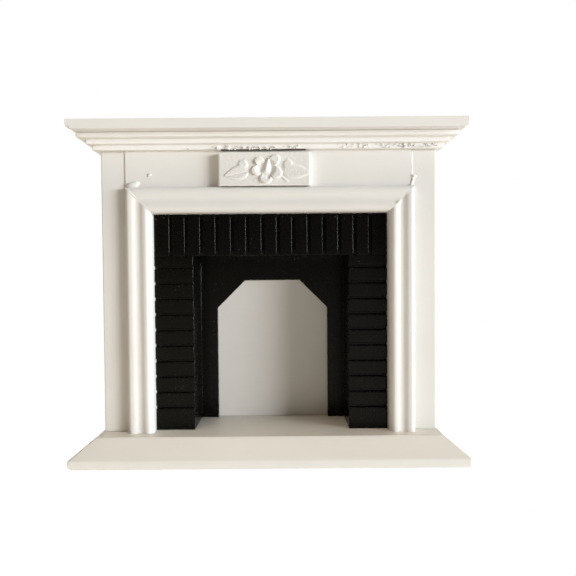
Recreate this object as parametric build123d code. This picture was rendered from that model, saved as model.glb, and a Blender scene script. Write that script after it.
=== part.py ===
from build123d import *
import math
import os

# A 1:12 dolls' house fireplace, in millimetres. X runs to the viewer's right, Y from front to back
# and Z up. The origin is at the bottom centre of the whole object.

# Overall size
overall_depth = 32.5
overall_height = 100.0
front_y = -overall_depth / 2
back_y = overall_depth / 2

# Base: a floor board with a bevelled strip mitred round its front and its two ends
plinth_width = 114.9
plinth_run = 6.2
plinth_edge_height = 2.45
base_height = 7.45

# Body: two thick side boards, a front frame of a frieze board and two stiles, and a thin back board
body_width = 101.3
board_thickness = 7.4
back_thickness = 3.0
ledge_depth = 6.1
frieze_proud = 0.3

# Shelf, and the stepped crown strip under it
shelf_width = 115.4
shelf_thickness = 2.85
shelf_overhang_front = 9.1
crown_height = 4.55
crown_step_overhangs = (1.8, 3.3, 5.35)

# Surround: a moulding of three strips planted on the front frame, and kerfed blocks set inside it.
# The moulding, the blocks and the arch were fitted by hand, a little to the right of the middle.
hearth_offset_x = 0.4
moulding_outer_width = 87.0
moulding_width = 7.85
moulding_top_z = 81.6
moulding_proud = 2.6
brick_setback = 1.2
brick_depth = 14.5
hearth_opening_width = 47.5
lintel_bottom_z = 61.0
kerf_width = 0.9
kerf_depth = 1.0
lintel_kerfs = 14
lintel_kerf_pitch = 4.69
column_kerfs = 10
column_kerf_pitch = 4.77
first_column_kerf_z = 14.5

# Arch panel behind the bricks
arch_opening_width = 36.6
arch_opening_top_z = 53.3
arch_chamfer = 9.2

# Carved plaque, glued on a little to the left of the middle
plaque_width = 27.6
plaque_height = 10.0
plaque_thickness = 3.0
plaque_relief = 0.6
plaque_offset_x = -1.1

# Places worked out from the sizes above
base_half_width = plinth_width / 2 - plinth_run
base_front_y = front_y + plinth_run
body_half_width = body_width / 2
inner_half_width = body_half_width - board_thickness
face_y = base_front_y + ledge_depth
back_board_y = back_y - back_thickness
brick_y = face_y + brick_setback
arch_y = brick_y + brick_depth
frieze_y = face_y - frieze_proud
moulding_half_width = moulding_outer_width / 2
hearth_half_width = moulding_half_width - moulding_width
hearth_top_z = moulding_top_z - moulding_width
shelf_bottom_z = overall_height - shelf_thickness
crown_bottom_z = shelf_bottom_z - crown_height


def block(x, y, z):
    """A box between three pairs of limits."""
    size = Box(x[1] - x[0], y[1] - y[0], z[1] - z[0])
    return Pos((x[0] + x[1]) / 2, (y[0] + y[1]) / 2, (z[0] + z[1]) / 2) * size


def outline(points):
    """A flat face bounded by straight lines between the points."""
    return make_face(Polyline(points, close=True))


def trim_strips(profile, half_width, edge_y):
    """A strip round the front and both ends of a rectangle, mitred at its two front corners.

    The profile's X runs outwards from the rectangle's edge and its Y is height above the ground.
    """
    reach = 20.0
    left_mitre = Plane(origin=(-half_width, edge_y, 0), z_dir=(1, -1, 0))
    right_mitre = Plane(origin=(half_width, edge_y, 0), z_dir=(-1, -1, 0))
    front_plane = Plane(origin=(0, edge_y, 0), x_dir=(0, -1, 0), z_dir=(-1, 0, 0))
    front = extrude(front_plane * profile, amount=half_width + reach, both=True)
    front = split(front, bisect_by=left_mitre, keep=Keep.TOP)
    front = split(front, bisect_by=right_mitre, keep=Keep.TOP)
    side_plane = Plane(origin=(-half_width, back_y, 0), x_dir=(-1, 0, 0), z_dir=(0, 1, 0))
    left = extrude(side_plane * profile, amount=-(back_y - edge_y + reach))
    left = split(left, bisect_by=left_mitre, keep=Keep.BOTTOM)
    return front, left, mirror(left, about=Plane.YZ)


def plinth_profile():
    """A low upright edge with a long bevel up to the floor board."""
    return outline(
        [
            (0, 0),
            (plinth_run, 0),
            (plinth_run, plinth_edge_height),
            (0, base_height),
        ]
    )


def crown_profile():
    """Upright steps that widen towards the shelf."""
    rise = crown_height / len(crown_step_overhangs)
    points = [(0, crown_bottom_z)]
    for step, out in enumerate(crown_step_overhangs):
        points.append((out, crown_bottom_z + step * rise))
        points.append((out, crown_bottom_z + (step + 1) * rise))
    points.append((0, shelf_bottom_z))
    return outline(points)


def moulding_profile():
    """Two round beads with a hollow between. X runs in from the outer edge and Y stands proud."""
    thickness = moulding_proud - frieze_proud
    inner_top = thickness - 0.05
    outer_crest = 1.6
    inner_crest = 6.3
    outer_side = 1.2
    inner_side = 0.3
    hollow_floor = thickness - 0.5
    hollow_start = 3.4
    hollow_end = 4.4
    edge = Line((0, 0), (0, outer_side))
    outer_bead = ThreePointArc((0, outer_side), (0.5, thickness - 0.3), (outer_crest, thickness))
    valley = Spline(
        [
            (outer_crest, thickness),
            (hollow_start, hollow_floor),
            (hollow_end, hollow_floor),
            (inner_crest, inner_top),
        ],
        tangents=[(1, 0), (1, 0)],
    )
    inner_bead = ThreePointArc((inner_crest, inner_top), (7.4, 1.6), (moulding_width, inner_side))
    lip = Line((moulding_width, inner_side), (moulding_width, 0))
    back = Line((moulding_width, 0), (0, 0))
    return make_face([edge, outer_bead, valley, inner_bead, lip, back])


def surround_strips():
    """Head and two legs of the moulding, mitred at the two top corners."""
    reach = 20.0
    outer = moulding_half_width
    profile = moulding_profile()
    left_mitre = Plane(origin=(-outer, 0, moulding_top_z), z_dir=(1, 0, 1))
    right_mitre = Plane(origin=(outer, 0, moulding_top_z), z_dir=(-1, 0, 1))
    head_plane = Plane(origin=(0, frieze_y, moulding_top_z), x_dir=(0, 0, -1), z_dir=(-1, 0, 0))
    head = extrude(head_plane * profile, amount=outer + reach, both=True)
    head = split(head, bisect_by=left_mitre, keep=Keep.TOP)
    head = split(head, bisect_by=right_mitre, keep=Keep.TOP)
    leg_plane = Plane(origin=(-outer, frieze_y, base_height), x_dir=(1, 0, 0), z_dir=(0, 0, -1))
    leg = extrude(leg_plane * profile, amount=-(moulding_top_z - base_height + reach))
    leg = split(leg, bisect_by=left_mitre, keep=Keep.BOTTOM)
    shift = Pos(hearth_offset_x, 0, 0)
    return shift * head, shift * leg, shift * mirror(leg, about=Plane.YZ)


def brick_column():
    """Left block of the brick surround, with level saw kerfs across its face."""
    x = (-hearth_half_width, -hearth_opening_width / 2)
    column = block(x, (brick_y, arch_y), (base_height, lintel_bottom_z))
    for course in range(column_kerfs):
        z = first_column_kerf_z + course * column_kerf_pitch
        level = (z - kerf_width / 2, z + kerf_width / 2)
        column -= block(x, (brick_y, brick_y + kerf_depth), level)
    return column


def brick_lintel():
    """Block over the hearth, with upright saw kerfs across its face."""
    z = (lintel_bottom_z, hearth_top_z)
    lintel = block((-hearth_half_width, hearth_half_width), (brick_y, arch_y), z)
    for course in range(lintel_kerfs):
        x = (course - (lintel_kerfs - 1) / 2) * lintel_kerf_pitch
        upright = (x - kerf_width / 2, x + kerf_width / 2)
        lintel -= block(upright, (brick_y, brick_y + kerf_depth), z)
    return lintel


def arch_panel():
    """Thin panel with an opening down to the floor, its two top corners cut off at 45 degrees."""
    half = arch_opening_width / 2
    panel = block(
        (-hearth_half_width, hearth_half_width),
        (arch_y, back_board_y),
        (base_height, hearth_top_z),
    )
    opening = outline(
        [
            (-half, base_height),
            (half, base_height),
            (half, arch_opening_top_z - arch_chamfer),
            (half - arch_chamfer, arch_opening_top_z),
            (-half + arch_chamfer, arch_opening_top_z),
            (-half, arch_opening_top_z - arch_chamfer),
        ]
    )
    cutter = Plane(origin=(0, back_board_y, 0), x_dir=(1, 0, 0), z_dir=(0, -1, 0)) * opening
    return panel - extrude(cutter, amount=back_board_y - arch_y)


def dome(radius, rise):
    """A shallow round cap, standing on the XY plane."""
    ball = (radius**2 + rise**2) / (2 * rise)
    above = Pos(0, 0, rise) * Box(3 * radius, 3 * radius, 2 * rise)
    return Pos(0, 0, rise - ball) * Sphere(ball) & above


def leaf(length, width, rise):
    """A pointed leaf, standing on the XY plane with its tip along +X."""
    lower = ThreePointArc((0, 0), (length / 2, -width / 2), (length, 0))
    upper = ThreePointArc((length, 0), (length / 2, width / 2), (0, 0))
    return extrude(make_face([lower, upper]), amount=rise, taper=25)


def carved_plaque():
    """Small block with a five-petalled flower between two leaves that droop a little."""
    slab_thickness = plaque_thickness - plaque_relief
    petals = 5
    petal_ring = 2.8
    first_petal = 54.0
    leaf_root = 4.9
    leaf_droop = 12.0
    plaque = Pos(0, 0, slab_thickness / 2) * Box(plaque_width, plaque_height, slab_thickness)
    for petal in range(petals):
        angle = math.radians(first_petal + petal * 360 / petals)
        place = Pos(petal_ring * math.cos(angle), petal_ring * math.sin(angle), slab_thickness)
        plaque += place * dome(1.9, plaque_relief)
    plaque += Pos(0, 0, slab_thickness) * dome(1.2, plaque_relief * 0.9)
    place = Pos(leaf_root, 0, slab_thickness) * Rot(0, 0, -leaf_droop)
    right_leaf = place * leaf(7.4, 4.8, plaque_relief * 0.8)
    plaque += right_leaf
    plaque += mirror(right_leaf, about=Plane.YZ)
    wall = Plane(
        origin=(plaque_offset_x, frieze_y, moulding_top_z + plaque_height / 2),
        x_dir=(1, 0, 0),
        z_dir=(0, -1, 0),
    )
    return wall * plaque


def body_parts():
    """Boards of the carcass."""
    height = (base_height, shelf_bottom_z)
    left_x = (-body_half_width, -inner_half_width)
    left_side = block(left_x, (face_y, back_board_y), height)
    frame_y = (frieze_y, frieze_y + board_thickness)
    stile_z = (base_height, hearth_top_z)
    left_stile_x = (-inner_half_width, hearth_offset_x - hearth_half_width)
    right_stile_x = (hearth_offset_x + hearth_half_width, inner_half_width)
    return {
        "base_board": block(
            (-base_half_width, base_half_width), (base_front_y, back_y), (0, base_height)
        ),
        "left_side_board": left_side,
        "right_side_board": mirror(left_side, about=Plane.YZ),
        "back_board": block((-body_half_width, body_half_width), (back_board_y, back_y), height),
        "frieze_board": block(
            (-inner_half_width, inner_half_width), frame_y, (hearth_top_z, shelf_bottom_z)
        ),
        "left_stile": block(left_stile_x, frame_y, stile_z),
        "right_stile": block(right_stile_x, frame_y, stile_z),
        "mantel_shelf": block(
            (-shelf_width / 2, shelf_width / 2),
            (face_y - shelf_overhang_front, back_y),
            (shelf_bottom_z, overall_height),
        ),
    }


def trim_parts():
    """Strips glued round the base, under the shelf and round the hearth."""
    plinth = trim_strips(plinth_profile(), base_half_width, base_front_y)
    crown = trim_strips(crown_profile(), body_half_width, frieze_y)
    surround = surround_strips()
    return {
        "plinth_front": plinth[0],
        "plinth_left": plinth[1],
        "plinth_right": plinth[2],
        "crown_front": crown[0],
        "crown_left": crown[1],
        "crown_right": crown[2],
        "surround_head": surround[0],
        "surround_left_leg": surround[1],
        "surround_right_leg": surround[2],
    }


def hearth_parts():
    """Black bricks, the arch panel behind them, and the carved plaque above."""
    left_column = brick_column()
    shift = Pos(hearth_offset_x, 0, 0)
    return {
        "brick_column_left": shift * left_column,
        "brick_column_right": shift * mirror(left_column, about=Plane.YZ),
        "brick_lintel": shift * brick_lintel(),
        "arch_panel": shift * arch_panel(),
        "carved_plaque": carved_plaque(),
    }


os.makedirs("parts", exist_ok=True)
for make in (body_parts, trim_parts, hearth_parts):
    for name, solid in make().items():
        solid.label = name
        export_step(solid, f"parts/{name}.step")
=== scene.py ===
import math
import random

import bmesh
import bpy
from mathutils import Euler, Matrix, Vector, noise
from mathutils.bvhtree import BVHTree


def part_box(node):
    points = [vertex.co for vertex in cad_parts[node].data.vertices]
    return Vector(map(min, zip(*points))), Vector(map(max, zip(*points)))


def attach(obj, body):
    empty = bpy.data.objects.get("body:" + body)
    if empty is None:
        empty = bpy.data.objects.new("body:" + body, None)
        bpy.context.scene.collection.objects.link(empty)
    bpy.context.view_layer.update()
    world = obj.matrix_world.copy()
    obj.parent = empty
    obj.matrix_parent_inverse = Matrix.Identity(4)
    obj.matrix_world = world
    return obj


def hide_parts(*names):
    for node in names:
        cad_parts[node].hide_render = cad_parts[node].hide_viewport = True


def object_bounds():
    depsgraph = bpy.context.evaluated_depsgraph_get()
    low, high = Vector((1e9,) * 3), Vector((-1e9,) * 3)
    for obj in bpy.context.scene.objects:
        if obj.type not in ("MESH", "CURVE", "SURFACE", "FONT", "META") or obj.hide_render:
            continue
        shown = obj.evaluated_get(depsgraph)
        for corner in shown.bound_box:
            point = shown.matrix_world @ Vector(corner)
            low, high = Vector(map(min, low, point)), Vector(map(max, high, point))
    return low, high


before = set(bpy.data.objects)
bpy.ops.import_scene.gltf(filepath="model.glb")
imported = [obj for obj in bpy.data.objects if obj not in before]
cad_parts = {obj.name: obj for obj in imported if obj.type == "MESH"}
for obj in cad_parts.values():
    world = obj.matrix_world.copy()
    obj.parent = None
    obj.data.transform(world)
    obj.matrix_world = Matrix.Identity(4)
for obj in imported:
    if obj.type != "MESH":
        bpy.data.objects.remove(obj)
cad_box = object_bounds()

# A 1:12 dolls' house fireplace of painted wood. Everything is in metres, in the CAD frame: X to the
# viewer's right, Y from front to back, Z up. Every shown piece is built from the CAD node it stands
# for, with the soft arrises and small lumps that thick hand-brushed paint leaves. Small extra pieces
# are the dried paint that shows at the joints, and dark slivers of painted shade in the gaps by the
# plaque.

MM = 0.001
BODY = "root"

# Paint, from its dullest patches to its brightest, and what lies on it. The shelf and crown whites
# are lighter partly as painted light; the corner, pit and gap colours are painted shade.
DULL_WHITE = (0.80, 0.785, 0.755, 1)
BRIGHT_WHITE = (0.86, 0.845, 0.82, 1)
# Shelf and crown whites are lighter copies of the white paint. This is partly their own paler tone and
# partly painted light for the light their undersides get from below.
DULL_SHELF_LIT = (0.84, 0.828, 0.805, 1)
BRIGHT_SHELF_LIT = (0.885, 0.873, 0.852, 1)
DULL_CROWN_LIT = (0.89, 0.88, 0.87, 1)
BRIGHT_CROWN_LIT = (0.93, 0.92, 0.912, 1)
WHITE_STREAK = (0.73, 0.705, 0.665, 1)
# Painted shade: the colour that darkens narrow corners where shade falls
CORNER_SHADE = (0.42, 0.34, 0.25, 1)
DULL_CRUMB = (0.80, 0.785, 0.76, 1)
BRIGHT_CRUMB = (0.88, 0.87, 0.85, 1)
# Painted shade: the dark colour of the shadowed pits between the crumbs
CRUMB_PIT_SHADE = (0.20, 0.15, 0.11, 1)
# Painted shade: the dark sheet set in the gaps above and below the plaque
GAP_SHADE_DARK = (0.055, 0.042, 0.03, 1)
GAP_SHADE_LIGHT = (0.11, 0.085, 0.06, 1)
GAP_SHADE_FLECK = (0.4, 0.36, 0.31, 1)
DEEP_BLACK = (0.0017, 0.0017, 0.0013, 1)
WORN_BLACK = (0.003, 0.0029, 0.0022, 1)
BLACK_STREAK = (0.005, 0.0047, 0.0037, 1)
BLACK_DUST = (0.10, 0.095, 0.085, 1)

# The studio: paper floor, the glow it throws back, and the plain backdrop
DULL_PAPER = (0.50, 0.49, 0.48, 1)
BRIGHT_PAPER = (0.56, 0.55, 0.54, 1)
LEFT_GLOW = (0.44, 0.37, 0.27, 1)
RIGHT_GLOW = (0.60, 0.58, 0.55, 1)
WARM_FILL = (1.0, 0.93, 0.83, 1)
PLAIN_WHITE = (1.0, 1.0, 1.0, 1)


# ---------------------------------------------------------------- node helpers


def new_material(name):
    """An empty node material with its Principled shader and its output already joined."""
    material = bpy.data.materials.new(name)
    material.use_nodes = True
    tree = material.node_tree
    tree.nodes.clear()
    output = tree.nodes.new("ShaderNodeOutputMaterial")
    shader = tree.nodes.new("ShaderNodeBsdfPrincipled")
    tree.links.new(shader.outputs["BSDF"], output.inputs["Surface"])
    return material, tree, shader


def feed(tree, socket, value):
    """Sets a socket to a number or colour, or joins another node's output to it."""
    if isinstance(value, bpy.types.NodeSocket):
        tree.links.new(value, socket)
    else:
        socket.default_value = value


def place(tree, scale):
    """Object coordinates in metres, multiplied by scale along each axis."""
    coords = tree.nodes.new("ShaderNodeTexCoord")
    mapping = tree.nodes.new("ShaderNodeMapping")
    mapping.inputs["Scale"].default_value = scale
    tree.links.new(coords.outputs["Object"], mapping.inputs["Vector"])
    return mapping.outputs["Vector"]


def clouds(tree, scale, detail=3.0, roughness=0.5):
    """Fractal noise from 0 to 1. The scale is in cycles per metre along each axis."""
    node = tree.nodes.new("ShaderNodeTexNoise")
    node.inputs["Scale"].default_value = 1.0
    node.inputs["Detail"].default_value = detail
    node.inputs["Roughness"].default_value = roughness
    tree.links.new(place(tree, scale), node.inputs["Vector"])
    return node.outputs["Fac"]


def specks(tree, per_metre, size):
    """Sparse round spots: 1 inside a spot and 0 outside it. The size is a share of a cell."""
    cells = tree.nodes.new("ShaderNodeTexVoronoi")
    cells.inputs["Scale"].default_value = 1.0
    tree.links.new(place(tree, (per_metre,) * 3), cells.inputs["Vector"])
    return remap(tree, cells.outputs["Distance"], size * 0.6, size, 1.0, 0.0)


def remap(tree, value, low, high, to_low, to_high):
    """Takes low..high to to_low..to_high, clamped."""
    node = tree.nodes.new("ShaderNodeMapRange")
    feed(tree, node.inputs["Value"], value)
    node.inputs["From Min"].default_value = low
    node.inputs["From Max"].default_value = high
    node.inputs["To Min"].default_value = to_low
    node.inputs["To Max"].default_value = to_high
    return node.outputs["Result"]


def maths(tree, operation, a, b):
    """One arithmetic step."""
    node = tree.nodes.new("ShaderNodeMath")
    node.operation = operation
    feed(tree, node.inputs[0], a)
    feed(tree, node.inputs[1], b)
    return node.outputs["Value"]


def blend(tree, factor, a, b):
    """A colour between a and b."""
    node = tree.nodes.new("ShaderNodeMix")
    node.data_type = "RGBA"
    feed(tree, node.inputs["Factor"], factor)
    feed(tree, node.inputs[6], a)
    feed(tree, node.inputs[7], b)
    return node.outputs[2]


def bumped(tree, height, strength, distance, normal=None):
    """A bump that stands distance metres tall at full height."""
    node = tree.nodes.new("ShaderNodeBump")
    node.inputs["Strength"].default_value = strength
    node.inputs["Distance"].default_value = distance
    tree.links.new(height, node.inputs["Height"])
    if normal is not None:
        tree.links.new(normal, node.inputs["Normal"])
    return node.outputs["Normal"]


def corner_shade_mask(tree, distance, low, high):
    """1 in a narrow, occluded corner and 0 on an open face: it marks where painted shade goes."""
    node = tree.nodes.new("ShaderNodeAmbientOcclusion")
    node.samples = 8
    node.inputs["Distance"].default_value = distance
    return remap(tree, node.outputs["AO"], low, high, 1.0, 0.0)


def seen_directly(tree, usual, direct, output):
    """Joins the direct surface to the output for the camera's own rays, and the usual one for the rest."""
    rays = tree.nodes.new("ShaderNodeLightPath")
    choose = tree.nodes.new("ShaderNodeMixShader")
    tree.links.new(rays.outputs["Is Camera Ray"], choose.inputs["Fac"])
    tree.links.new(usual, choose.inputs[1])
    tree.links.new(direct, choose.inputs[2])
    tree.links.new(choose.outputs["Shader"], output.inputs["Surface"])


# ---------------------------------------------------------------- materials


def white_paint(name, stroke_axis, dull, bright):
    """Satin white paint brushed along one axis over wood, with painted shade darkening its corners."""
    material, tree, shader = new_material(name)
    stroke = [1500.0, 1500.0, 1500.0]
    stroke["XYZ".index(stroke_axis)] = 60.0
    patch = clouds(tree, (45.0, 45.0, 45.0), 2.0)
    fine = clouds(tree, (900.0, 900.0, 900.0), 4.0, 0.6)
    strokes = clouds(tree, stroke, 3.0, 0.55)
    pimples = specks(tree, 260.0, 0.11)
    corner = corner_shade_mask(tree, 0.5 * MM, 0.2, 0.6)
    colour = blend(tree, patch, dull, bright)
    streak = remap(tree, strokes, 0.35, 0.75, 0.0, 0.07)
    colour = blend(tree, streak, colour, WHITE_STREAK)
    # Painted shade: the paint is darkened in narrow, occluded corners
    painted_corner_shade = maths(tree, "MULTIPLY", corner, remap(tree, fine, 0.3, 0.7, 0.1, 0.35))
    colour = blend(tree, painted_corner_shade, colour, CORNER_SHADE)
    tree.links.new(colour, shader.inputs["Base Color"])
    tree.links.new(remap(tree, strokes, 0.3, 0.7, 0.30, 0.46), shader.inputs["Roughness"])
    shader.inputs["Specular IOR Level"].default_value = 0.45
    normal = bumped(tree, strokes, 0.25, 0.03 * MM)
    normal = bumped(tree, fine, 0.2, 0.03 * MM, normal)
    normal = bumped(tree, pimples, 0.5, 0.06 * MM, normal)
    tree.links.new(normal, shader.inputs["Normal"])
    return material


def crumbly_paint(name):
    """White paint over rough filler, with painted shade in the pits between the crumbs."""
    material, tree, shader = new_material(name)
    patch = clouds(tree, (500.0, 500.0, 500.0), 3.0)
    pits = clouds(tree, (1900.0, 1900.0, 1900.0), 2.0, 0.6)
    colour = blend(tree, patch, DULL_CRUMB, BRIGHT_CRUMB)
    # Painted shade: the pits between the crumbs are darkened as if in shadow
    colour = blend(tree, remap(tree, pits, 0.56, 0.66, 0.0, 0.9), colour, CRUMB_PIT_SHADE)
    tree.links.new(colour, shader.inputs["Base Color"])
    tree.links.new(remap(tree, patch, 0.3, 0.7, 0.4, 0.6), shader.inputs["Roughness"])
    shader.inputs["Specular IOR Level"].default_value = 0.4
    tree.links.new(bumped(tree, pits, 0.8, 0.08 * MM), shader.inputs["Normal"])
    return material


def gap_shade(name):
    """A dark sheet of painted shade for a gap that light does not reach, grained like wood, with paler
    flecks.
    """
    material, tree, shader = new_material(name)
    grain = clouds(tree, (150.0, 1400.0, 1400.0), 3.0)
    breaks = clouds(tree, (420.0, 420.0, 420.0), 3.0)
    colour = blend(tree, grain, GAP_SHADE_DARK, GAP_SHADE_LIGHT)
    colour = blend(tree, remap(tree, breaks, 0.6, 0.7, 0.0, 0.7), colour, GAP_SHADE_FLECK)
    tree.links.new(colour, shader.inputs["Base Color"])
    tree.links.new(remap(tree, grain, 0.3, 0.7, 0.7, 0.9), shader.inputs["Roughness"])
    tree.links.new(bumped(tree, grain, 0.4, 0.04 * MM), shader.inputs["Normal"])
    return material


def black_paint(name, stroke_axis):
    """Satin black paint over sawn wood, with grain showing through and pale dust specks."""
    material, tree, shader = new_material(name)
    grain = [1300.0, 1300.0, 1300.0]
    grain["XYZ".index(stroke_axis)] = 90.0
    strokes = clouds(tree, grain, 4.0, 0.6)
    fine = clouds(tree, (1400.0, 1400.0, 1400.0), 3.0, 0.6)
    patch = clouds(tree, (120.0, 120.0, 120.0), 2.0)
    dust = maths(tree, "MAXIMUM", specks(tree, 520.0, 0.085), specks(tree, 1150.0, 0.11))
    dusty = maths(tree, "MULTIPLY", dust, remap(tree, patch, 0.56, 0.68, 0.0, 1.0))
    colour = blend(tree, patch, DEEP_BLACK, WORN_BLACK)
    colour = blend(tree, remap(tree, strokes, 0.5, 0.8, 0.0, 0.4), colour, BLACK_STREAK)
    colour = blend(tree, dusty, colour, BLACK_DUST)
    tree.links.new(colour, shader.inputs["Base Color"])
    satin = remap(tree, fine, 0.3, 0.7, 0.20, 0.32)
    rough = maths(tree, "ADD", satin, maths(tree, "MULTIPLY", dusty, 0.4))
    tree.links.new(rough, shader.inputs["Roughness"])
    shader.inputs["Specular IOR Level"].default_value = 0.15
    normal = bumped(tree, strokes, 0.3, 0.03 * MM)
    normal = bumped(tree, fine, 0.15, 0.02 * MM, normal)
    normal = bumped(tree, dusty, 0.5, 0.06 * MM, normal)
    tree.links.new(normal, shader.inputs["Normal"])
    return material


def floor_paper():
    """White paper that the camera sees without a shade; it throws a soft bounce, warmer on the left."""
    material, tree, shader = new_material("floor_paper")
    output = shader.outputs["BSDF"].links[0].to_node
    fibre = clouds(tree, (700.0, 700.0, 700.0), 3.0)
    tree.links.new(blend(tree, fibre, DULL_PAPER, BRIGHT_PAPER), shader.inputs["Base Color"])
    shader.inputs["Roughness"].default_value = 0.85
    across = tree.nodes.new("ShaderNodeSeparateXYZ")
    tree.links.new(place(tree, (1.0, 1.0, 1.0)), across.inputs["Vector"])
    ramp_end = 200 * MM
    rightness = remap(tree, across.outputs["X"], -ramp_end, ramp_end, 0.0, 1.0)
    glow = blend(tree, rightness, LEFT_GLOW, RIGHT_GLOW)
    tree.links.new(glow, shader.inputs["Emission Color"])
    shader.inputs["Emission Strength"].default_value = 1.0
    white = tree.nodes.new("ShaderNodeEmission")
    white.inputs["Color"].default_value = PLAIN_WHITE
    white.inputs["Strength"].default_value = 1.0
    seen_directly(tree, shader.outputs["BSDF"], white.outputs["Emission"], output)
    return material


# ---------------------------------------------------------------- meshes

# How finely the pieces are cut up, and the height and breadth of the lumps in their paint
BOARD_STEP = 3.0 * MM
BOARD_LUMPS = 0.02 * MM
BOARD_LUMP_SIZE = 9 * MM
BRICK_STEP = 2.0 * MM
BRICK_LUMPS = 0.025 * MM
BRICK_LUMP_SIZE = 4 * MM
BRICK_SEED = 31

# Radii of the soft edges and of the corners that have worn away
BOARD_ARRIS = 0.35 * MM
STILE_ARRIS = 0.12 * MM
FRIEZE_ARRIS = 0.08 * MM
BACK_ARRIS = 0.25 * MM
FLOOR_ARRIS = 0.2 * MM
SHELF_ARRIS = 0.4 * MM
TRIM_ARRIS = 0.3 * MM
MOULDING_ARRIS = 0.2 * MM
BRICK_ARRIS = 0.22 * MM
SHELF_LEFT_WEAR = 1.7 * MM
SHELF_RIGHT_WEAR = 0.8 * MM
PLINTH_LEFT_WEAR = 1.5 * MM
PLINTH_RIGHT_WEAR = 1.1 * MM


def merged_bmesh(node):
    """The CAD node's mesh with its split corners merged and its flat faces made whole."""
    grid_per_metre = 1e7
    flat_angle = math.radians(0.5)
    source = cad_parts[node].data
    bm = bmesh.new()
    keys = [tuple(round(c * grid_per_metre) for c in vertex.co) for vertex in source.vertices]
    found = {}
    for key, vertex in zip(keys, source.vertices):
        if key not in found:
            found[key] = bm.verts.new(vertex.co)
    for polygon in source.polygons:
        corners = [found[keys[i]] for i in polygon.vertices]
        if len(set(corners)) == len(corners) and bm.faces.get(corners) is None:
            bm.faces.new(corners)
    bmesh.ops.dissolve_limit(
        bm,
        angle_limit=flat_angle,
        verts=bm.verts,
        edges=bm.edges,
        use_dissolve_boundaries=False,
    )
    bmesh.ops.recalc_face_normals(bm, faces=bm.faces)
    return bm


def round_edges(bm, radius, upright=None, sharp=25.0, segments=4):
    """Rounds every edge where the surface turns sharply; upright edges can have their own radius."""

    def sharp_edges(wanted):
        folded = [e for e in bm.edges if len(e.link_faces) == 2]
        return [e for e in folded if e.calc_face_angle(0.0) > math.radians(sharp) and wanted(e)]

    def is_upright(edge):
        run = edge.verts[0].co - edge.verts[1].co
        return abs(run.z) > 0.9 * run.length

    passes = [(radius, lambda edge: True)]
    if upright is not None:
        passes.insert(0, (upright, is_upright))
    for offset, wanted in passes:
        bmesh.ops.bevel(
            bm,
            geom=sharp_edges(wanted),
            offset=offset,
            offset_type="OFFSET",
            segments=segments,
            profile=0.5,
            affect="EDGES",
            clamp_overlap=True,
        )


def cut(bm, point, normal):
    """Cuts every face that a plane crosses, and keeps both sides."""
    geometry = bm.verts[:] + bm.edges[:] + bm.faces[:]
    bmesh.ops.bisect_plane(bm, geom=geometry, dist=1e-7, plane_co=point, plane_no=normal)


def dice(bm, step):
    """Cuts the mesh by planes step apart along each axis, so that it has points to move."""
    low = [min(v.co[i] for v in bm.verts) for i in range(3)]
    high = [max(v.co[i] for v in bm.verts) for i in range(3)]
    for axis in range(3):
        normal = Vector((0, 0, 0))
        normal[axis] = 1.0
        cuts = int((high[axis] - low[axis]) / step)
        for k in range(1, cuts + 1):
            point = Vector((0, 0, 0))
            point[axis] = low[axis] + (high[axis] - low[axis]) * k / (cuts + 1)
            cut(bm, point, normal)


def lump(bm, amount, size, seed, box):
    """Moves each point along its normal by smooth noise, as uneven paint does, inside the box."""
    low, high = box
    shift = Vector((seed * 0.37, seed * 0.71, seed * 0.13))
    bm.normal_update()
    moves = []
    for vertex in bm.verts:
        wave = noise.noise(vertex.co / size + shift)
        wave += 0.5 * noise.noise(vertex.co * 2.7 / size - shift)
        moves.append(vertex.normal * (wave * amount))
    for vertex, move in zip(bm.verts, moves):
        moved = vertex.co + move
        vertex.co = Vector(min(high[i], max(low[i], moved[i])) for i in range(3))


def finish_piece(bm, name, material, weighted=True):
    """Makes the object, gives it its material and lets it ride on the body."""
    bmesh.ops.recalc_face_normals(bm, faces=bm.faces)
    mesh = bpy.data.meshes.new(name)
    bm.to_mesh(mesh)
    bm.free()
    for polygon in mesh.polygons:
        polygon.use_smooth = True
    piece = bpy.data.objects.new(name, mesh)
    bpy.context.scene.collection.objects.link(piece)
    piece.data.materials.append(material)
    if weighted:
        modifier = piece.modifiers.new("face_normals", "WEIGHTED_NORMAL")
        modifier.weight = 80
    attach(piece, BODY)
    return piece


def wear_lower_ends(bm, left, right):
    """Rounds the two lower end edges of a board, each by its own radius."""
    near = 0.001 * MM
    bottom = min(v.co.z for v in bm.verts)
    for side, radius in ((-1, left), (1, right)):
        end = max(side * v.co.x for v in bm.verts)
        low = {v for v in bm.verts if abs(v.co.z - bottom) < near}
        corner = {v for v in low if abs(side * v.co.x - end) < near}
        worn = [e for e in bm.edges if set(e.verts) <= corner]
        bmesh.ops.bevel(bm, geom=worn, offset=radius, segments=6, profile=0.5, affect="EDGES")


def wear_corner(bm, side, radius):
    """Rounds the plinth's lower outer corner, as seen from the front, on one side."""
    low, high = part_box("plinth_front")
    corner = Vector((high.x if side > 0 else low.x, 0, low.z))
    cuts = 6
    for k in range(1, cuts + 1):
        inset = radius * k / cuts
        cut(bm, corner - Vector((side * inset, 0, 0)), Vector((1, 0, 0)))
        cut(bm, corner + Vector((0, 0, inset)), Vector((0, 0, 1)))
    for vertex in bm.verts:
        across = radius - side * (corner.x - vertex.co.x)
        down = radius - (vertex.co.z - corner.z)
        reach = math.hypot(across, down)
        if across > 0 and down > 0 and reach > radius:
            vertex.co.x = corner.x - side * (radius - across * radius / reach)
            vertex.co.z = corner.z + radius - down * radius / reach


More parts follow.
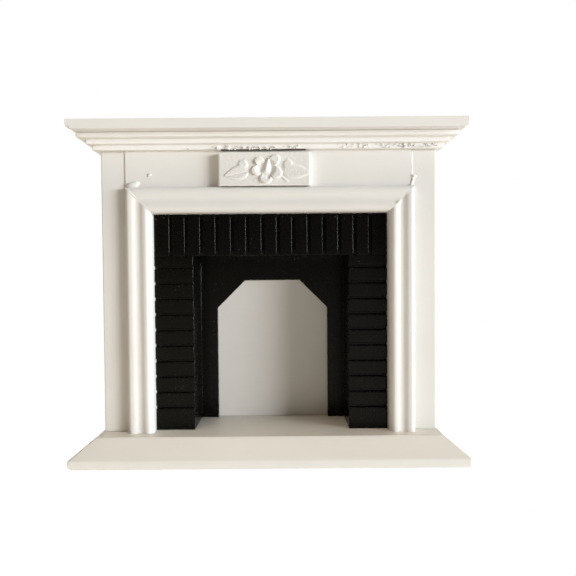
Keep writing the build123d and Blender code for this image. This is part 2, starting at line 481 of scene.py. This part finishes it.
def painted(
    node,
    material,
    radius,
    upright=None,
    step=BOARD_STEP,
    amount=BOARD_LUMPS,
    seed=1,
    size=BOARD_LUMP_SIZE,
):
    """A detailed copy of a CAD node that stands for it."""
    bm = merged_bmesh(node)
    if node == "mantel_shelf":
        wear_lower_ends(bm, SHELF_LEFT_WEAR, SHELF_RIGHT_WEAR)
    round_edges(bm, radius, upright)
    if node in ("plinth_front", "plinth_left"):
        wear_corner(bm, -1, PLINTH_LEFT_WEAR)
    if node in ("plinth_front", "plinth_right"):
        wear_corner(bm, 1, PLINTH_RIGHT_WEAR)
    dice(bm, step)
    lump(bm, amount, size, seed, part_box(node))
    piece = finish_piece(bm, node + "_painted", material)
    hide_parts(node)
    return piece


def smooth_step(low, high, value):
    """0 below low, 1 above high, and a smooth rise between them."""
    t = min(1.0, max(0.0, (value - low) / (high - low)))
    return t * t * (3 - 2 * t)


# The carving is worked out in millimetres: u to the right of its middle, v above it, and the height
# of the relief above the slab. Petals are laid out anticlockwise from the upper left.
UPPER_LEFT_PETAL = {"angle": 134, "reach": 2.7, "length": 1.85, "width": 1.5}
LEFT_PETAL = {"angle": 191, "reach": 2.7, "length": 2.1, "width": 1.75}
LOWER_PETAL = {"angle": 267, "reach": 2.7, "length": 1.9, "width": 2.1}
RIGHT_PETAL = {"angle": 337, "reach": 2.8, "length": 2.5, "width": 2.1}
UPPER_RIGHT_PETAL = {"angle": 45, "reach": 3.1, "length": 2.5, "width": 1.7}
PETALS = (UPPER_LEFT_PETAL, LEFT_PETAL, LOWER_PETAL, RIGHT_PETAL, UPPER_RIGHT_PETAL)


def petal(u, v, angle, reach, length, width):
    """How far inside a petal's outline a point is: 1 in its middle, 0 on the outline."""
    turn = math.radians(angle)
    du = u - reach * math.cos(turn)
    dv = v - reach * math.sin(turn)
    along = (du * math.cos(turn) + dv * math.sin(turn)) / length
    across = (dv * math.cos(turn) - du * math.sin(turn)) / width
    return 1.0 - math.hypot(along, across)


def pistil(u, v):
    """The ridge in the middle of the flower, narrow above and wide below."""
    top = 3.3
    length = 5.3
    down = (top - v) / length
    if down <= 0.0 or down >= 1.0:
        return 0.0
    half = 0.7 + 1.25 * down
    middle = 0.95 - 1.15 * down
    ends = smooth_step(0.0, 0.12, down) * smooth_step(1.0, 0.72, down)
    return 0.6 * ends * smooth_step(1.05, 0.0, abs(u - middle + 0.1 * half) / half)


def flower_height(u, v):
    """A five-lobed bowl with a ridge in its middle, a crumb of clay and a short stem."""
    second, inside = sorted(petal(u, v, **shape) for shape in PETALS)[-2:]
    crease = smooth_step(0.3, 0.0, inside - second)
    bowl = smooth_step(0.8, 3.9, math.hypot(u + 0.1, 1.05 * v))
    height = smooth_step(-0.03, 0.3, inside) * (-0.26 + 0.95 * bowl - 0.2 * crease)
    dent = smooth_step(1.0, 0.2, math.hypot(u - 0.6, v + 2.6))
    height -= 0.3 * dent * smooth_step(0.0, 0.3, inside)
    height = max(height, pistil(u, v))
    crumb = smooth_step(0.95, 0.1, math.hypot(u + 1.2, v + 2.3))
    height = max(height, 0.5 * crumb)
    stem_u = u - 5.0
    stem_v = v + 2.7
    along = (stem_u * 0.75 - stem_v * 0.66) / 1.9
    off = abs(stem_u * 0.66 + stem_v * 0.75)
    stem = smooth_step(0.5, 0.05, off) * smooth_step(1.0, 0.5, abs(along - 0.2))
    return max(height, 0.2 * stem)


def leaf_height(u, v, length, tilt):
    """A broad leaf with a round lobe above its stalk, a pointed tip, a midrib and side veins."""
    turn = math.radians(tilt)
    along = u * math.cos(turn) - v * math.sin(turn)
    across = u * math.sin(turn) + v * math.cos(turn)
    t = along / length
    if t <= 0.0 or t >= 1.0:
        return 0.0
    half = 2.5 * math.sin(math.pi * t**0.8) ** 0.75
    blade = smooth_step(1.0, 0.6, abs(across) / max(half, 0.05)) * smooth_step(0.0, 0.2, t)
    lobe = smooth_step(1.0, 0.55, math.hypot(u - 0.27 * length, v - 1.75) / 1.75)
    edge = max(blade, lobe)
    dish = 0.5 + 0.5 * math.cos(1.5 * across)
    rib = smooth_step(0.34, 0.06, abs(across + 0.3))
    veins = 0.5 + 0.5 * math.cos(7.5 * (along - 0.8 * abs(across)))
    return edge * (0.34 - 0.07 * dish - 0.13 * rib - 0.05 * veins)


def plaque_piece(material):
    """The carved block: a fine height field, in millimetres, on its front, and plain sides."""
    low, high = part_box("carved_plaque")
    width = (high.x - low.x) / MM
    height = (high.z - low.z) / MM
    slab = 2.4 * MM
    step = 0.1
    left_droop = 12
    right_droop = 4
    columns = int(round(width / step))
    rows = int(round(height / step))
    middle = Vector(((low.x + high.x) / 2, high.y, (low.z + high.z) / 2))
    bm = bmesh.new()
    grid = []
    for j in range(rows + 1):
        line = []
        for i in range(columns + 1):
            u = (i / columns - 0.5) * width
            v = (j / rows - 0.5) * height
            flower = flower_height(u - 0.5, v - 0.1)
            right_leaf = leaf_height(u - 4.6, v + 0.5, 9.0, right_droop)
            left_leaf = leaf_height(-4.4 - u, v + 0.4, 7.6, left_droop)
            relief = max(flower, right_leaf, left_leaf)
            relief += 0.035 * noise.noise(Vector((u * 1.1, v * 1.1, 3.1)))
            relief += 0.02 * noise.noise(Vector((u * 3.0, v * 3.0, 7.7)))
            wander = 0.16 * noise.noise(Vector((v * 0.7, 2.0, 5.0)))
            side_fall = 1 - smooth_step(-0.15, 0.5 + wander, width / 2 - abs(u))
            end_fall = 1 - smooth_step(-0.05, 0.25, height / 2 - abs(v))
            relief -= 0.22 * side_fall + 0.14 * end_fall
            y = max(low.y, middle.y - slab - relief * MM)
            line.append(bm.verts.new((middle.x + u * MM, y, middle.z + v * MM)))
        grid.append(line)
    for j in range(rows):
        for i in range(columns):
            bm.faces.new([grid[j][i], grid[j][i + 1], grid[j + 1][i + 1], grid[j + 1][i]])
    border = grid[0] + [line[-1] for line in grid[1:]]
    border += grid[-1][-2::-1] + [line[0] for line in grid[-2:0:-1]]
    back = [bm.verts.new((v.co.x, middle.y, v.co.z)) for v in border]
    count = len(border)
    for i in range(count):
        n = (i + 1) % count
        bm.faces.new([border[n], border[i], back[i], back[n]])
    bm.faces.new(back)
    bmesh.ops.recalc_face_normals(bm, faces=bm.faces)
    piece = finish_piece(bm, "carved_plaque_relief", material, weighted=False)
    piece.data.set_sharp_from_angle(angle=math.radians(50))
    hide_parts("carved_plaque")
    return piece


def blob(bm, centre, radii, seed, turn=0.0):
    """A small uneven lump of dried paint."""
    made = bmesh.ops.create_icosphere(bm, subdivisions=2, radius=1.0)["verts"]
    shift = Vector((seed * 1.7, seed * 0.9, seed * 2.3))
    spin = Matrix.Rotation(turn, 3, "Y")
    for vertex in made:
        scale = 1.0 + 0.45 * noise.noise(vertex.co * 1.3 + shift)
        point = Vector(vertex.co[i] * radii[i] * scale for i in range(3))
        vertex.co = centre + spin @ point


def bead(bm, points, radius, seed):
    """A rope of dried paint along some points, uneven in thickness and pointed at both ends."""
    sides = 8
    rings = []
    last = len(points) - 1
    for i, point in enumerate(points):
        run = points[min(last, i + 1)] - points[max(0, i - 1)]
        side = run.cross(Vector((0, 1, 0))).normalized()
        rise = side.cross(run).normalized()
        r = radius * (1.0 + 0.45 * noise.noise(Vector((i * 0.35, seed * 3.1, 0.5))))
        r *= 0.35 + 0.65 * smooth_step(0.0, 2.5, min(i, last - i))
        ring = []
        for k in range(sides):
            a = math.tau * k / sides
            ring.append(bm.verts.new(point + (side * math.cos(a) + rise * math.sin(a)) * r))
        rings.append(ring)
    for first, second in zip(rings, rings[1:]):
        for k in range(sides):
            n = (k + 1) % sides
            bm.faces.new([first[k], first[n], second[n], second[k]])
    bm.faces.new(rings[0][::-1])
    bm.faces.new(rings[-1])


def front_surface(node):
    """A function that gives the y of a node's front surface at some x and z."""
    bm = merged_bmesh(node)
    tree = BVHTree.FromBMesh(bm)
    bm.free()
    well_in_front = -100 * MM
    backwards = Vector((0, 1, 0))

    def surface(x, z):
        hit = tree.ray_cast(Vector((x, well_in_front, z)), backwards)[0]
        return None if hit is None else hit.y

    return surface


def scatter_crumbs(bm, draw, start, end, count, low, high, size):
    """Crumbs on the bottom step of the crown, from start to end in x and low to high above its foot."""
    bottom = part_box("crown_front")[0].z
    step_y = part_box("frieze_board")[0].y - 1.8 * MM
    for i in range(count):
        x = draw.uniform(start, end) * MM
        z = bottom + draw.uniform(low, high) * MM
        r = size * draw.uniform(0.55, 1.45) * MM
        radii = (r * draw.uniform(0.9, 1.9), r * 1.1, r * draw.uniform(0.7, 1.1))
        blob(bm, Vector((x, step_y - 0.3 * r, z)), radii, i + start, draw.uniform(-0.8, 0.8))


def paint_crumbs(material):
    """Rough crumbs of filler and paint along the crown: thick over the plaque and at the right end."""
    draw = random.Random(11)
    bm = bmesh.new()
    scatter_crumbs(bm, draw, start=-17.5, end=9.0, count=64, low=0.0, high=0.8, size=0.27)
    scatter_crumbs(bm, draw, start=-24.0, end=-14.0, count=8, low=0.0, high=1.0, size=0.16)
    scatter_crumbs(bm, draw, start=20.0, end=34.0, count=26, low=0.3, high=1.3, size=0.17)
    scatter_crumbs(bm, draw, start=34.0, end=50.5, count=60, low=0.2, high=1.4, size=0.2)
    return finish_piece(bm, "paint_crumbs", material, weighted=False)


def mitre_ridge(material, side):
    """The low ridge of paint along the mitre at one top corner of the moulding."""
    surface = front_surface("surround_head")
    low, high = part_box("surround_head")
    corner = high.x if side > 0 else low.x
    run = high.z - low.z
    radius = (0.6 if side > 0 else 0.3) * MM
    sink = (0.9 if side > 0 else 0.84) * radius
    parts = 22
    points = []
    for i in range(parts + 1):
        t = 0.02 + 0.95 * i / parts
        x = corner - side * t * run
        z = high.z - t * run
        y = surface(x - side * 0.05 * MM, z + 0.05 * MM)
        if y is not None:
            points.append(Vector((x + 0.15 * MM, y + sink, z)))
    bm = bmesh.new()
    bead(bm, points, radius, 2 + side)
    name = "mitre_ridge_right" if side > 0 else "mitre_ridge_left"
    return finish_piece(bm, name, material, weighted=False)


def frieze_joints(material):
    """Paint gathered at the frieze's ends: a bead and a nub on the right, two lumps on the left."""
    frieze_low, frieze_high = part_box("frieze_board")
    board_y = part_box("right_side_board")[0].y
    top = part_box("crown_front")[0].z
    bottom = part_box("surround_head")[1].z
    x = frieze_high.x
    bm = bmesh.new()
    line = []
    parts = 24
    for i in range(parts + 1):
        wave = 0.03 * math.sin(i * 0.6)
        z = bottom + (top - bottom) * i / parts
        line.append(Vector((x + (0.12 + wave) * MM, board_y - 0.06 * MM, z)))
    bead(bm, line, 0.24 * MM, 5)

    def nub(right, up, wide, deep, tall, turn):
        """One lump of the nub, placed in millimetres from the foot of the frieze's right end."""
        foot = Vector((x + 0.15 * MM, board_y - 0.1 * MM, bottom))
        centre = foot + Vector((right, -0.05, up)) * MM
        blob(bm, centre, (wide * MM, deep * MM, tall * MM), 4 + up, turn)

    nub(right=0.5, up=3.0, wide=1.0, deep=0.5, tall=0.55, turn=0.15)
    nub(right=0.15, up=2.1, wide=0.55, deep=0.42, tall=0.9, turn=0.1)
    nub(right=0.0, up=1.1, wide=0.55, deep=0.34, tall=1.0, turn=0.3)
    nub(right=-0.3, up=0.2, wide=0.65, deep=0.4, tall=0.9, turn=0.6)
    left = Vector((frieze_low.x, frieze_low.y, bottom))
    blob(bm, left + Vector((2.1, 0.35, 0.8)) * MM, (2.5 * MM, 0.95 * MM, 1.35 * MM), 7, -0.3)
    blob(bm, left + Vector((7.3, 0.1, 3.9)) * MM, (0.75 * MM, 0.4 * MM, 0.5 * MM), 8, -0.2)
    return finish_piece(bm, "frieze_joint_paint", material, weighted=False)


def sliver(bm, low, high):
    """A thin slab with slightly wavy long edges."""
    parts = 40
    rows = []
    for i in range(parts + 1):
        t = i / parts
        x = low.x + (high.x - low.x) * t
        wave = 0.12 * MM * noise.noise(Vector((i * 0.4, low.z * 900, 1.0)))
        front = low.y + wave
        corners = ((front, low.z), (high.y, low.z), (high.y, high.z), (front, high.z))
        rows.append([bm.verts.new((x, y, z)) for y, z in corners])
    for first, second in zip(rows, rows[1:]):
        for k in range(4):
            n = (k + 1) % 4
            bm.faces.new([first[k], first[n], second[n], second[k]])
    bm.faces.new(rows[0][::-1])
    bm.faces.new(rows[-1])


def shade_in_plaque_gaps(material):
    """Dark slivers of painted shade in the narrow gaps above and below the plaque."""
    low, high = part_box("carved_plaque")
    frieze_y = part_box("frieze_board")[0].y
    crown_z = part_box("crown_front")[0].z
    bm = bmesh.new()
    inset = 0.9 * MM
    foot = 0.07 * MM
    upper_low = Vector((low.x + inset, frieze_y - 1.65 * MM, crown_z - foot))
    upper_high = Vector((high.x - 1.6 * inset, frieze_y + 0.02 * MM, crown_z + 0.05 * MM))
    sliver(bm, upper_low, upper_high)
    lower_low = Vector((low.x + inset, low.y + 0.75 * MM, low.z - foot))
    lower_high = Vector((high.x - inset, low.y + 2.0 * MM, low.z + 0.03 * MM))
    sliver(bm, lower_low, lower_high)
    return finish_piece(bm, "plaque_gap_shade", material, weighted=False)


def hearth_corner_bead(material, side):
    """Black paint gathered in the corner between a brick column and the arch panel."""
    node = "brick_column_left" if side < 0 else "brick_column_right"
    low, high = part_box(node)
    x = high.x if side < 0 else low.x
    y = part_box("arch_panel")[0].y
    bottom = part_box("base_board")[1].z
    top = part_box("brick_lintel")[0].z
    line = []
    parts = 40
    for i in range(parts + 1):
        wave = 0.05 * noise.noise(Vector((i * 0.4, side, 0.0)))
        line.append(Vector((x + wave * MM, y - 0.05 * MM, bottom + (top - bottom) * i / parts)))
    bm = bmesh.new()
    bead(bm, line, 0.24 * MM, 20 + side)
    name = "hearth_corner_left" if side < 0 else "hearth_corner_right"
    return finish_piece(bm, name, material, weighted=False)


def plaque_bed(material):
    """Paint squeezed out beside the right edge of the plaque, in two beads."""
    low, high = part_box("carved_plaque")
    frieze_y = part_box("frieze_board")[0].y
    bm = bmesh.new()

    def side_bead(depth, out, radius, seed):
        """One upright bead, depth in front of the frieze and out from the plaque, in millimetres."""
        line = []
        parts = 21
        for i in range(parts + 1):
            z = low.z + (high.z - low.z) * (0.04 + 0.92 * i / parts)
            wave = 0.12 * noise.noise(Vector((i * 0.3, seed, 0.0)))
            line.append(Vector((high.x + (out + wave) * MM, frieze_y - depth * MM, z)))
        bead(bm, line, radius * MM, seed)

    side_bead(depth=0.1, out=0.0, radius=0.3, seed=9)
    side_bead(depth=1.2, out=-0.2, radius=0.2, seed=12)
    return finish_piece(bm, "plaque_bed_paint", material, weighted=False)


# ---------------------------------------------------------------- the object

white_x = white_paint("white_paint_across", "X", DULL_WHITE, BRIGHT_WHITE)
white_y = white_paint("white_paint_depth", "Y", DULL_WHITE, BRIGHT_WHITE)
white_z = white_paint("white_paint_upright", "Z", DULL_WHITE, BRIGHT_WHITE)
# The shelf and crown paints are lighter copies of the white: partly their own paler, pinker tone, partly
# painted light on their undersides.
shelf_x = white_paint("shelf_paint_lit_across", "X", DULL_SHELF_LIT, BRIGHT_SHELF_LIT)
crown_x = white_paint("crown_paint_lit_across", "X", DULL_CROWN_LIT, BRIGHT_CROWN_LIT)
crown_y = white_paint("crown_paint_lit_depth", "Y", DULL_CROWN_LIT, BRIGHT_CROWN_LIT)
black_x = black_paint("black_paint_across", "X")
black_z = black_paint("black_paint_upright", "Z")

for seed, (node, material, radius, upright) in enumerate(
    [
        ("base_board", white_x, FLOOR_ARRIS, None),
        ("left_side_board", white_z, BOARD_ARRIS, None),
        ("right_side_board", white_z, BOARD_ARRIS, None),
        ("back_board", white_x, BACK_ARRIS, None),
        ("frieze_board", white_x, FRIEZE_ARRIS, None),
        ("left_stile", white_z, STILE_ARRIS, None),
        ("right_stile", white_z, STILE_ARRIS, None),
        ("mantel_shelf", shelf_x, SHELF_ARRIS, SHELF_ARRIS),
        ("plinth_front", white_x, TRIM_ARRIS, None),
        ("plinth_left", white_y, TRIM_ARRIS, None),
        ("plinth_right", white_y, TRIM_ARRIS, None),
        ("crown_front", crown_x, TRIM_ARRIS, None),
        ("crown_left", crown_y, TRIM_ARRIS, None),
        ("crown_right", crown_y, TRIM_ARRIS, None),
        ("surround_head", white_x, MOULDING_ARRIS, None),
        ("surround_left_leg", white_z, MOULDING_ARRIS, None),
        ("surround_right_leg", white_z, MOULDING_ARRIS, None),
    ]
):
    painted(node, material, radius, upright, seed=seed + 1)

for seed, (node, material) in enumerate(
    [
        ("brick_column_left", black_x),
        ("brick_column_right", black_x),
        ("brick_lintel", black_z),
        ("arch_panel", black_z),
    ]
):
    painted(
        node,
        material,
        BRICK_ARRIS,
        step=BRICK_STEP,
        amount=BRICK_LUMPS,
        seed=seed + BRICK_SEED,
        size=BRICK_LUMP_SIZE,
    )

plaque_piece(white_x)
paint_crumbs(crumbly_paint("crumbly_paint"))
# Dark slivers of painted shade in the gaps above and below the plaque
shade_in_plaque_gaps(gap_shade("gap_shade"))
frieze_joints(white_z)
plaque_bed(white_z)
for side in (-1, 1):
    mitre_ridge(white_z, side)
    hearth_corner_bead(black_z, side)


# ---------------------------------------------------------------- stage, lights and camera

FLOOR_RADIUS = 6.0
WINDOW = {"elevation": 2, "distance": 9.0, "size": 3.9}
CEILING = {"elevation": 75, "distance": 3.0, "size": 1.3}
REAR = {"elevation": 1, "distance": 3.0, "size": 1.6}

# The camera stands in front of the plinth, a little right of the middle and looking slightly down
CAMERA_RIGHT = 5.66 * MM
CAMERA_AHEAD = 150.57 * MM
CAMERA_UP = 55.2 * MM
CAMERA_DIP = 1.47
CAMERA_ROLL = -0.45
CAMERA_LENS = 33.47
CAMERA_SENSOR = 36.0

object_low, object_high = cad_box


def lay_floor():
    """A wide round sheet of paper under the object."""
    bm = bmesh.new()
    bmesh.ops.create_circle(bm, cap_ends=True, cap_tris=False, segments=96, radius=FLOOR_RADIUS)
    mesh = bpy.data.meshes.new("floor")
    bm.to_mesh(mesh)
    bm.free()
    floor = bpy.data.objects.new("floor", mesh)
    floor.location.z = object_low.z
    floor.data.materials.append(floor_paper())
    bpy.context.scene.collection.objects.link(floor)


def make_world():
    """A plain white backdrop that gives the object almost no light."""
    world = bpy.data.worlds.new("studio")
    bpy.context.scene.world = world
    world.use_nodes = True
    tree = world.node_tree
    tree.nodes.clear()
    output = tree.nodes.new("ShaderNodeOutputWorld")
    fill = tree.nodes.new("ShaderNodeBackground")
    fill.inputs["Color"].default_value = WARM_FILL
    fill.inputs["Strength"].default_value = 0.01
    plain = tree.nodes.new("ShaderNodeBackground")
    plain.inputs["Color"].default_value = PLAIN_WHITE
    plain.inputs["Strength"].default_value = 1.0
    seen_directly(tree, fill.outputs["Background"], plain.outputs["Background"], output)


def soft_light(name, azimuth, elevation, distance, size, power, colour):
    """A round area light that faces the middle of the object. Azimuth 0 is in front, + to the right."""
    a = math.radians(azimuth)
    e = math.radians(elevation)
    middle = (object_low + object_high) / 2
    towards = Vector((math.sin(a) * math.cos(e), -math.cos(a) * math.cos(e), math.sin(e)))
    data = bpy.data.lights.new(name, "AREA")
    data.shape = "DISK"
    data.size = size
    data.energy = power
    data.color = colour
    light = bpy.data.objects.new(name, data)
    light.location = middle + towards * distance
    light.rotation_mode = "QUATERNION"
    light.rotation_quaternion = towards.to_track_quat("Z", "Y")
    bpy.context.scene.collection.objects.link(light)


def set_camera():
    """The camera that the picture is taken with."""
    data = bpy.data.cameras.new("camera")
    data.lens = CAMERA_LENS
    data.sensor_width = CAMERA_SENSOR
    data.clip_start = 0.01
    data.clip_end = 50.0
    camera = bpy.data.objects.new("camera", data)
    camera.location = (CAMERA_RIGHT, object_low.y - CAMERA_AHEAD, object_low.z + CAMERA_UP)
    tilt = Euler((math.radians(90 - CAMERA_DIP), 0, 0)).to_matrix()
    roll = Matrix.Rotation(math.radians(CAMERA_ROLL), 3, "Z")
    camera.rotation_mode = "QUATERNION"
    camera.rotation_quaternion = (tilt @ roll).to_quaternion()
    bpy.context.scene.collection.objects.link(camera)
    bpy.context.scene.camera = camera
    bpy.context.scene.view_settings.view_transform = "Standard"


lay_floor()
make_world()
soft_light("window", azimuth=60, power=1190.0, colour=(1.0, 1.0, 1.0), **WINDOW)
soft_light("window_edge", azimuth=75, power=270.0, colour=(0.65, 1.0, 1.15), **WINDOW)
soft_light("ceiling_left", azimuth=-25, power=19.0, colour=(1.25, 1.0, 0.72), **CEILING)
soft_light("ceiling_right", azimuth=60, power=9.0, colour=(1.05, 1.0, 0.8), **CEILING)
soft_light("rear_right", azimuth=150, power=30.0, colour=(1.0, 1.0, 1.0), **REAR)
soft_light("rear_left", azimuth=-145, power=30.0, colour=(1.0, 0.99, 0.97), **REAR)
set_camera()
